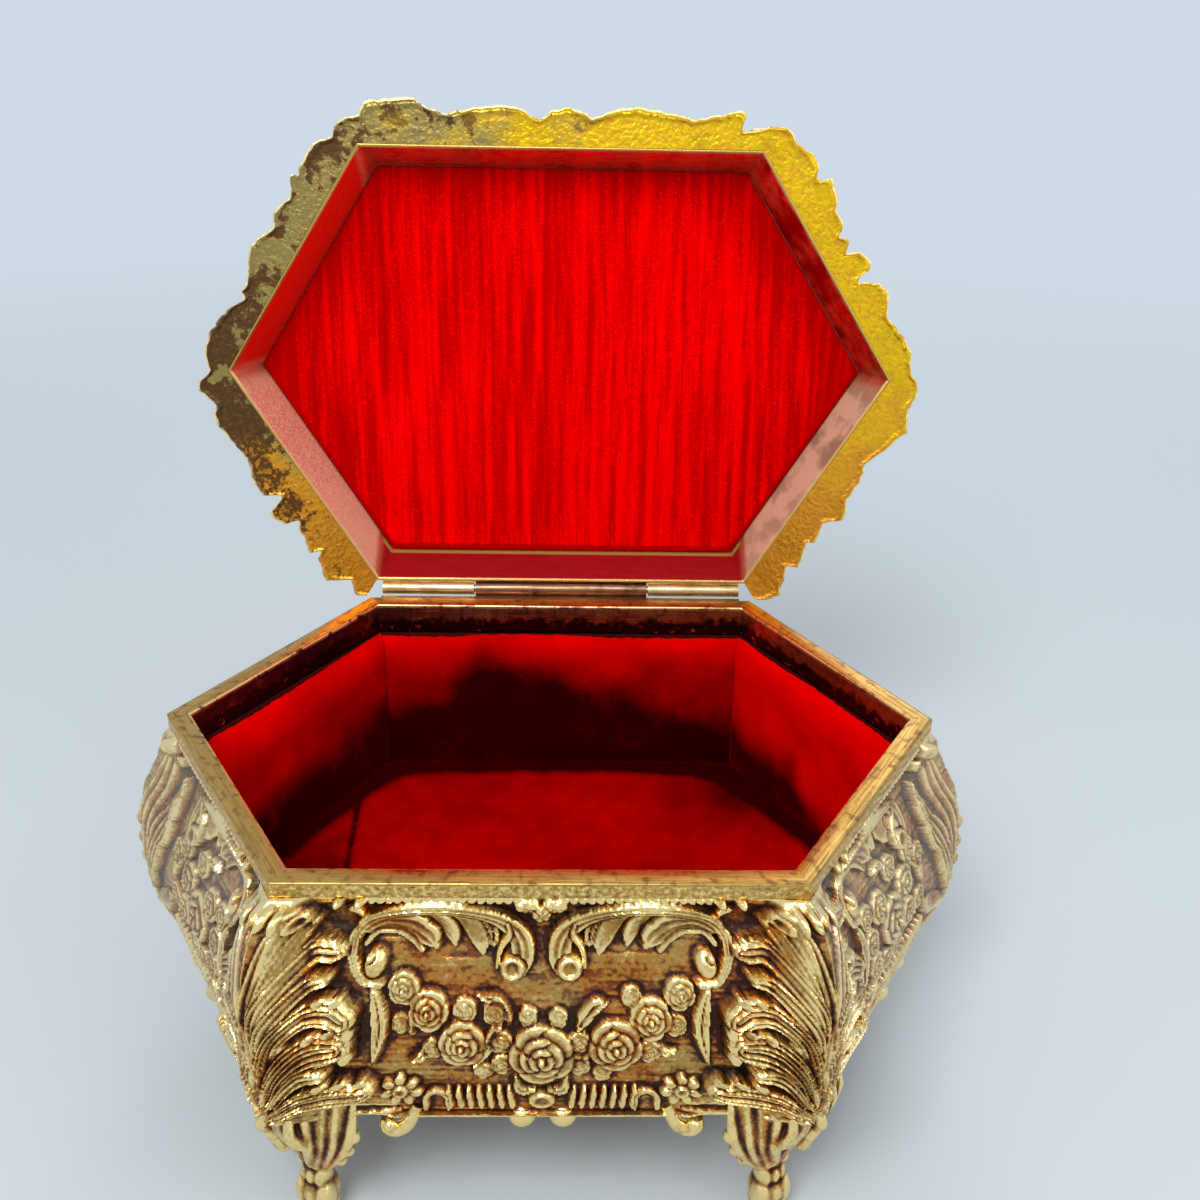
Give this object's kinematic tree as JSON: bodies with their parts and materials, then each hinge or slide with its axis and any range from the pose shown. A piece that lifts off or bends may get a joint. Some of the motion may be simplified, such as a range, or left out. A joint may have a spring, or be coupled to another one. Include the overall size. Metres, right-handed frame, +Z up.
{
  "type": "jewelry casket",
  "caption": "Six-sided footed jewelry casket in gilt cast relief, with a hinged domed lid standing open and red velvet lining.",
  "frame": {"origin": "floor level under the middle of the open casket's box", "axes": "+X to the right along the hinge, +Y from the front to the hinge side, +Z up"},
  "size_m": [0.1376, 0.1194, 0.1553],
  "materials": {
    "gilt_relief": "gold-washed cast relief with dark brown patina in the hollows",
    "gilt_rim": "brushed and scratched gilt strip",
    "base_metal": "dull rolled sheet",
    "hinge_metal": "bright rolled knuckles",
    "pin_metal": "drawn wire",
    "stiff_board": "grey-brown pasteboard",
    "lining_velvet": "deep red velvet",
    "lid_velvet_cloth": "bright red velvet with an upright nap"
  },
  "bodies": {
    "casket_body": {"panel_front": "gilt_relief", "panel_back": "gilt_relief", "panel_left_front": "gilt_relief", "panel_left_back": "gilt_relief", "panel_right_front": "gilt_relief", "panel_right_back": "gilt_relief", "foot_front_left": "gilt_relief", "foot_front_right": "gilt_relief", "foot_back_left": "gilt_relief", "foot_back_right": "gilt_relief", "rim_frame": "gilt_rim", "base_plate": "base_metal", "hinge_leaf_body": "hinge_metal", "hinge_pin": "pin_metal", "wall_board_front": "stiff_board", "wall_board_right_front": "stiff_board", "wall_board_right_back": "stiff_board", "wall_board_back": "stiff_board", "wall_board_left_back": "stiff_board", "wall_board_left_front": "stiff_board", "floor_board": "stiff_board", "lining_front": "lining_velvet", "lining_right_front": "lining_velvet", "lining_right_back": "lining_velvet", "lining_back": "lining_velvet", "lining_left_back": "lining_velvet", "lining_left_front": "lining_velvet", "floor_pad": "lining_velvet"},
    "lid": {"lid_casting": "gilt_relief", "lid_frame": "gilt_rim", "lid_board": "stiff_board", "lid_velvet": "lid_velvet_cloth", "hinge_leaf_lid": "hinge_metal"}
  },
  "joints": [
    {"name": "lid_hinge", "type": "hinge", "parent": "casket_body", "child": "lid", "pos_m": [0, 0.03533, 0.0646], "axis": [1, 0, 0], "range_deg": [0, 96.7]}
  ]
}
